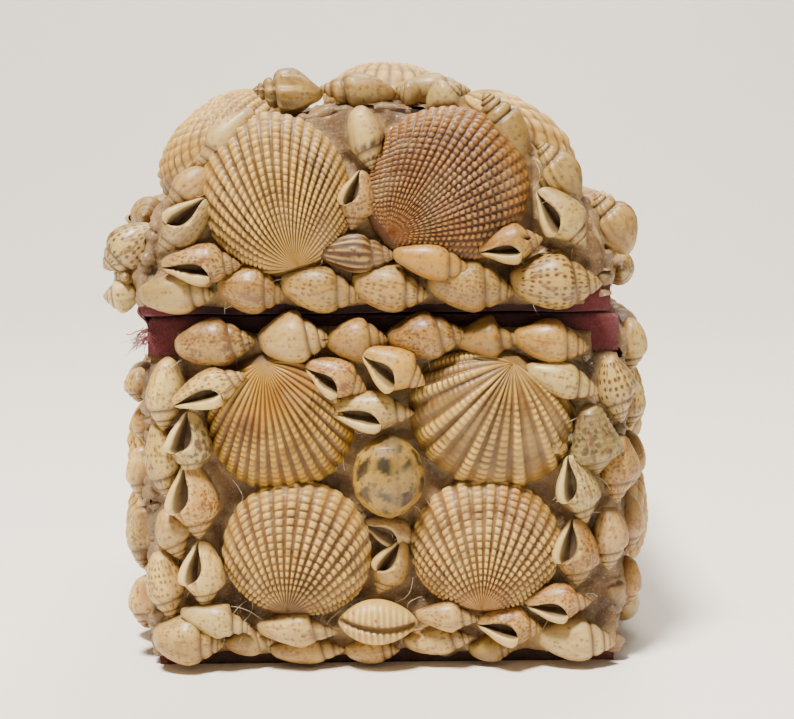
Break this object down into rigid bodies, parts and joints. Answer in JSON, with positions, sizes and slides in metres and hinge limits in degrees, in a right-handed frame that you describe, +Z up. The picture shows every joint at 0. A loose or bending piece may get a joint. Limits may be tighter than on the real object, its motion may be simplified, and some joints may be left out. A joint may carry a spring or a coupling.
{
  "type": "shell-covered trinket box",
  "caption": "Chest-shaped keepsake box with a barrel lid, board core and maroon velvet, covered all over with sea shells set in clear glue; the lid swings on a cloth strip.",
  "frame": {"origin": "centre of the underside of the board core", "axes": "+Z up; -Y out of the arched end that the picture shows; the lid's cloth hinge runs along the left, -X, side"},
  "size_m": [0.0921, 0.1094, 0.1],
  "materials": {
    "board": "brown pressed board with dried glue",
    "velvet": "worn maroon velvet",
    "shell_brown": "chestnut-brown ribbed sea shell with pale beads",
    "shell_cream": "cream sea shell, softly glossy under a thin skin of glue",
    "shell_mixed": "small mixed sea shells, cream to brown",
    "shell_ochre": "ochre-yellow sea shell, ribbed or blotched",
    "shell_pale": "pale cream and grey sea shell",
    "shell_tan": "tan sea shell with brown speckles",
    "glue": "dried clear glue, yellowed, with dust and fibres in it"
  },
  "bodies": {
    "base": {"back_cockles_1": "shell_cream", "back_cockles_2": "shell_pale", "back_cockles_3": "shell_ochre", "back_lower_row": "shell_tan", "back_upper_row": "shell_cream", "base_box": "board", "base_lining": "velvet", "front_bottom_row": "shell_cream", "front_centre_cluster": "shell_cream", "front_cockle_lower_left": "shell_cream", "front_cockle_lower_right": "shell_cream", "front_cockle_upper_left": "shell_ochre", "front_cockle_upper_right": "shell_pale", "front_cowrie": "shell_cream", "front_left_column": "shell_cream", "front_nerite": "shell_ochre", "front_right_column": "shell_tan", "front_top_row": "shell_tan", "hinge_cloth": "velvet", "left_cockles_1": "shell_cream", "left_cockles_2": "shell_ochre", "left_cockles_3": "shell_pale", "left_lower_row": "shell_cream", "left_upper_row": "shell_tan", "right_cockles_1": "shell_pale", "right_cockles_2": "shell_cream", "right_cockles_3": "shell_ochre", "right_lower_row": "shell_cream", "right_upper_row": "shell_tan"},
    "lid": {"lid_back_arch_row": "shell_pale", "lid_back_cockle_left": "shell_cream", "lid_back_cockle_right": "shell_ochre", "lid_back_row": "shell_tan", "lid_box": "board", "lid_front_arch_left": "shell_cream", "lid_front_arch_right": "shell_tan", "lid_front_arch_top": "shell_tan", "lid_front_centre": "shell_cream", "lid_front_cockle_left": "shell_cream", "lid_front_cockle_right": "shell_brown", "lid_front_row": "shell_tan", "lid_left_cockle_1": "shell_ochre", "lid_left_cockle_2": "shell_cream", "lid_left_cockle_3": "shell_pale", "lid_left_eave_row": "shell_tan", "lid_left_second_row": "shell_cream", "lid_lining": "velvet", "lid_ridge_cockle": "shell_pale", "lid_ridge_rows": "shell_mixed", "lid_right_cockle_1": "shell_cream", "lid_right_cockle_2": "shell_brown", "lid_right_cockle_3": "shell_ochre", "lid_right_eave_row": "shell_cream", "lid_right_second_row": "shell_pale"}
  },
  "joints": [
    {"name": "lid_hinge", "type": "hinge", "parent": "base", "child": "lid", "pos_m": [-0.0386, 0, 0.0586], "axis": [0, -1, 0], "range_deg": [0, 88], "deforming": ["hinge_cloth"]}
  ]
}
